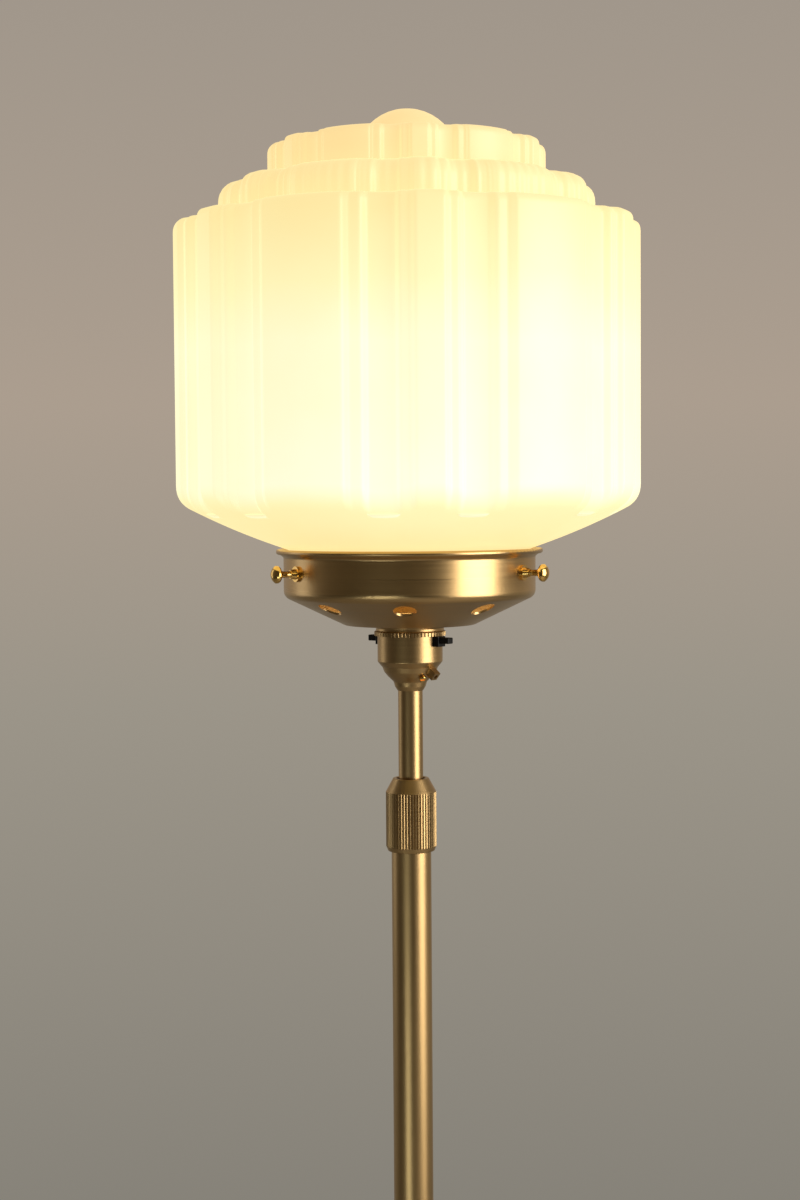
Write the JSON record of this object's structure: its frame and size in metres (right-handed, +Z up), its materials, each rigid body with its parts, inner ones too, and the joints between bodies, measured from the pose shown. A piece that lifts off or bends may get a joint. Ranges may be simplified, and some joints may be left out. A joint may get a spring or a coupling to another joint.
{
  "type": "torchiere floor lamp",
  "caption": "Telescopic brass floor lamp: stepped opal glass shade in a screw gallery on a bayonet lampholder with push-bar switch, knurled clamp collar, weighted base.",
  "frame": {"origin": "on the floor, on the pole's axis, at the middle of the base", "axes": "+Z up along the pole, -Y the lamp's front, +X to the right seen from the front"},
  "size_m": [0.29, 0.29, 1.4],
  "materials": {
    "satin_brass": "satin, lightly brushed",
    "gallery_brass": "spun satin",
    "polished_brass": "polished",
    "opal_glass": "pressed opal, lit from inside",
    "bulb_glass": "frosted",
    "black_glass": "glossy",
    "black_moulding": "moulded, half gloss",
    "porcelain": "glazed",
    "nylon": "turned",
    "rubber": "matt",
    "iron": "cast, painted",
    "steel": "zinc plated",
    "aluminium": "drawn",
    "solder": "dull"
  },
  "bodies": {
    "stand": {"base_pad": "rubber", "base_weight": "iron", "base_cover": "satin_brass", "cable_grommet": "rubber", "pole_stud": "steel", "stud_washer": "steel", "stud_nut": "steel", "pole_foot_plug": "steel", "pole_foot_ring": "satin_brass", "lower_tube": "satin_brass", "threaded_ferrule": "satin_brass", "split_collet": "nylon"},
    "collar": {"knurled_collar": "satin_brass", "thrust_ring": "steel"},
    "slider": {"guide_bush": "nylon"},
    "head": {"upper_tube": "satin_brass", "tube_stop_ring": "steel", "tube_end_cap": "nylon", "holder_body": "satin_brass", "switch_housing": "black_moulding", "terminal_screws": "polished_brass", "clamp_ring": "satin_brass", "holder_skirt": "satin_brass", "contact_insert": "porcelain", "contact_springs": "steel", "earth_post": "satin_brass", "earth_screw": "polished_brass", "gallery": "gallery_brass", "screw_bosses": "polished_brass", "shade_ring": "satin_brass"},
    "push_bar": {"switch_bar": "black_moulding"},
    "screw_right": {"thumb_screw_right": "polished_brass"},
    "screw_back": {"thumb_screw_back": "polished_brass"},
    "screw_left": {"thumb_screw_left": "polished_brass"},
    "shade": {"glass_shade": "opal_glass"},
    "plungers": {"contact_plungers": "polished_brass"},
    "bulb": {"bulb_cap": "aluminium", "bulb_pins": "aluminium", "bulb_insulator": "black_glass", "bulb_contacts": "solder", "bulb_envelope": "bulb_glass"}
  },
  "joints": [
    {"name": "height_slide", "type": "slide", "parent": "stand", "child": "slider", "axis": [0, 0, 1], "range_m": [-0.045, 0.3]},
    {"name": "head_turn", "type": "hinge", "parent": "slider", "child": "head", "pos_m": [0, 0, 1.05], "axis": [0, 0, 1], "range_deg": [-160, 160]},
    {"name": "collar_turn", "type": "hinge", "parent": "stand", "child": "collar", "pos_m": [0, 0, 1.01], "axis": [0, 0, 1], "range_deg": [0, 180]},
    {"name": "switch_push", "type": "slide", "parent": "head", "child": "push_bar", "axis": [0.8039, -0.5948, 0], "range_m": [-0.005, 0]},
    {"name": "screw_right_out", "type": "slide", "parent": "head", "child": "screw_right", "axis": [0.866, -0.5, 0], "range_m": [0, 0.006]},
    {"name": "screw_back_out", "type": "slide", "parent": "head", "child": "screw_back", "axis": [0, 1, 0], "range_m": [0, 0.006]},
    {"name": "screw_left_out", "type": "slide", "parent": "head", "child": "screw_left", "axis": [-0.866, -0.5, 0], "range_m": [0, 0.006]},
    {"name": "shade_lift", "type": "slide", "parent": "head", "child": "shade", "axis": [0, 0, 1], "range_m": [0, 0.12]},
    {"name": "bulb_press", "type": "slide", "parent": "head", "child": "plungers", "axis": [0, 0, 1], "range_m": [-0.0025, 0], "stiffness_N_per_m": 2000, "springref_m": 0.002, "deforming": ["contact_springs"]},
    {"name": "bulb_turn", "type": "hinge", "parent": "plungers", "child": "bulb", "pos_m": [0, 0, 1.1375], "axis": [0, 0, 1], "range_deg": [-30, 0]}
  ]
}
